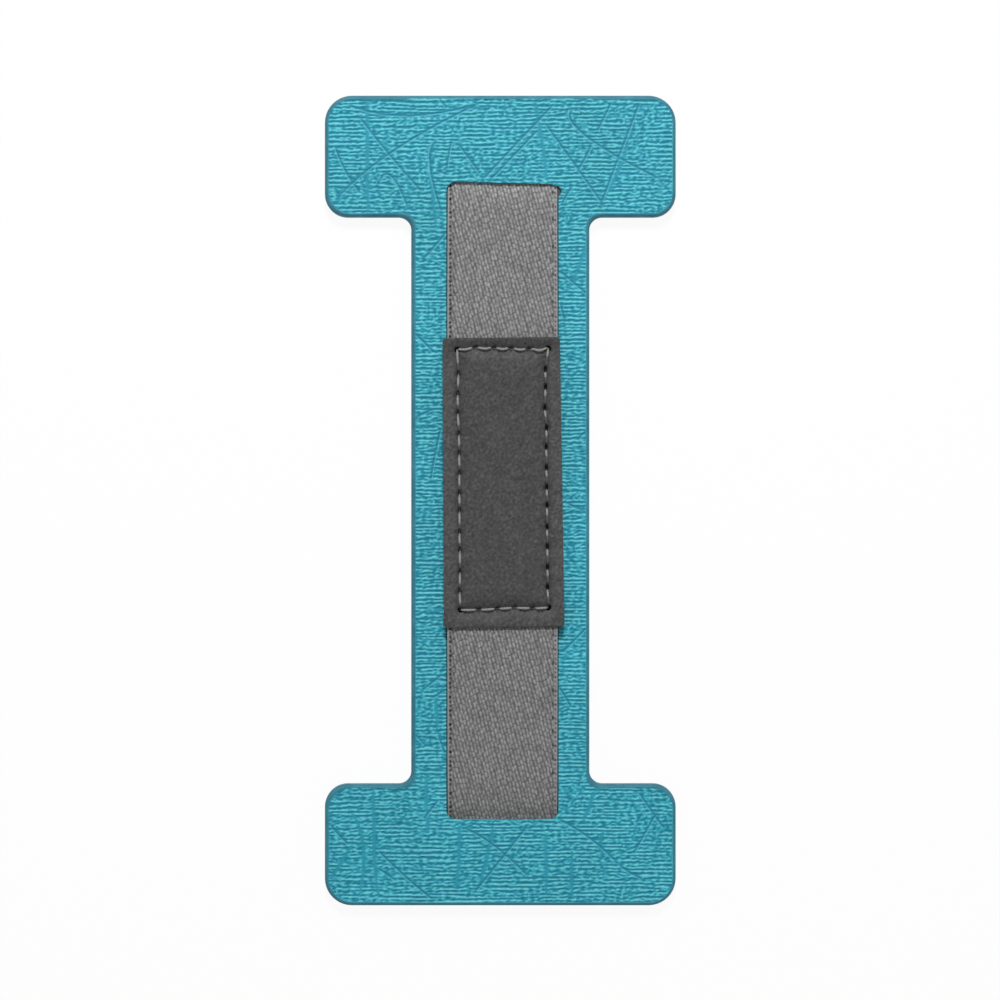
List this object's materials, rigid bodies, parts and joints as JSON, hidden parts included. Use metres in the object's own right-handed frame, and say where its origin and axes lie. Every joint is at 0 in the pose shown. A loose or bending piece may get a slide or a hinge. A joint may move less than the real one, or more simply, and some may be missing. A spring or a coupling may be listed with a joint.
{
  "type": "tablet hand strap",
  "caption": "Flat I-shaped stick-on pad with an elastic band across a long window and a stitched leather grip on the band, for holding a tablet in one hand.",
  "frame": {"origin": "bottom centre of the whole strap as it lies on its back", "axes": "+Y along the strap, up in the picture; +X across it, right in the picture; +Z out of its front face"},
  "size_m": [0.065, 0.15, 0.0064],
  "materials": {
    "embossed_leather": "embossed, slightly glossy",
    "board": "matte",
    "dark_lining": "fine grain, matte",
    "grey_elastic": "woven",
    "grip_suede": "brushed, matte",
    "pale_thread": "plied",
    "adhesive_foam": "matte",
    "liner_paper": "smooth, coated"
  },
  "bodies": {
    "root": {"front_panel": "embossed_leather", "core_board": "board", "backing_sheet": "dark_lining", "elastic_band": "grey_elastic", "grip_front_leather": "grip_suede", "grip_rear_leather": "grip_suede", "front_seam_thread": "pale_thread", "rear_seam_thread": "pale_thread", "adhesive_pad_upper": "adhesive_foam", "adhesive_pad_lower": "adhesive_foam", "release_liner_upper": "liner_paper", "release_liner_lower": "liner_paper"}
  },
  "joints": []
}
